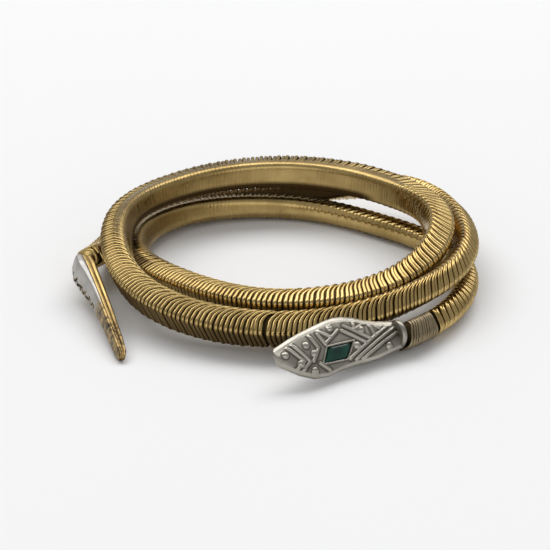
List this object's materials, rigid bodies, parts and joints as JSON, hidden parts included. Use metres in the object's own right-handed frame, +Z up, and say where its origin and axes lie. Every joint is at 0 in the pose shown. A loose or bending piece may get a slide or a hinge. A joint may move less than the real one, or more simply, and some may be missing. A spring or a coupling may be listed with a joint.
{
  "type": "snake bangle",
  "caption": "Flexible coiled bangle of wound brass wire in the form of a snake, with a cast head set with a green stone, a bound neck and a pointed plated tail.",
  "frame": {"origin": "on the floor, at the centre of the wrist opening", "axes": "+Z up, out of the wrist opening, with the bangle lying on its side; the snake's head lies towards -Y and its tail towards -X and -Y"},
  "size_m": [0.0784, 0.0873, 0.0136],
  "materials": {
    "brass_winding": "aged polished",
    "binding_wire": "dull patinated",
    "white_metal": "cast, worn bright on the raised work and dark in the hollows",
    "green_stone": "polished, dark green",
    "tail_white_metal": "satin",
    "brass_backing": "aged, dark at the tip"
  },
  "bodies": {
    "root": {"wound_body": "brass_winding", "wound_tail_length": "brass_winding", "neck_binding": "binding_wire", "head": "white_metal", "head_stone": "green_stone", "tail_plate": "tail_white_metal", "tail_backing": "brass_backing"}
  },
  "joints": []
}
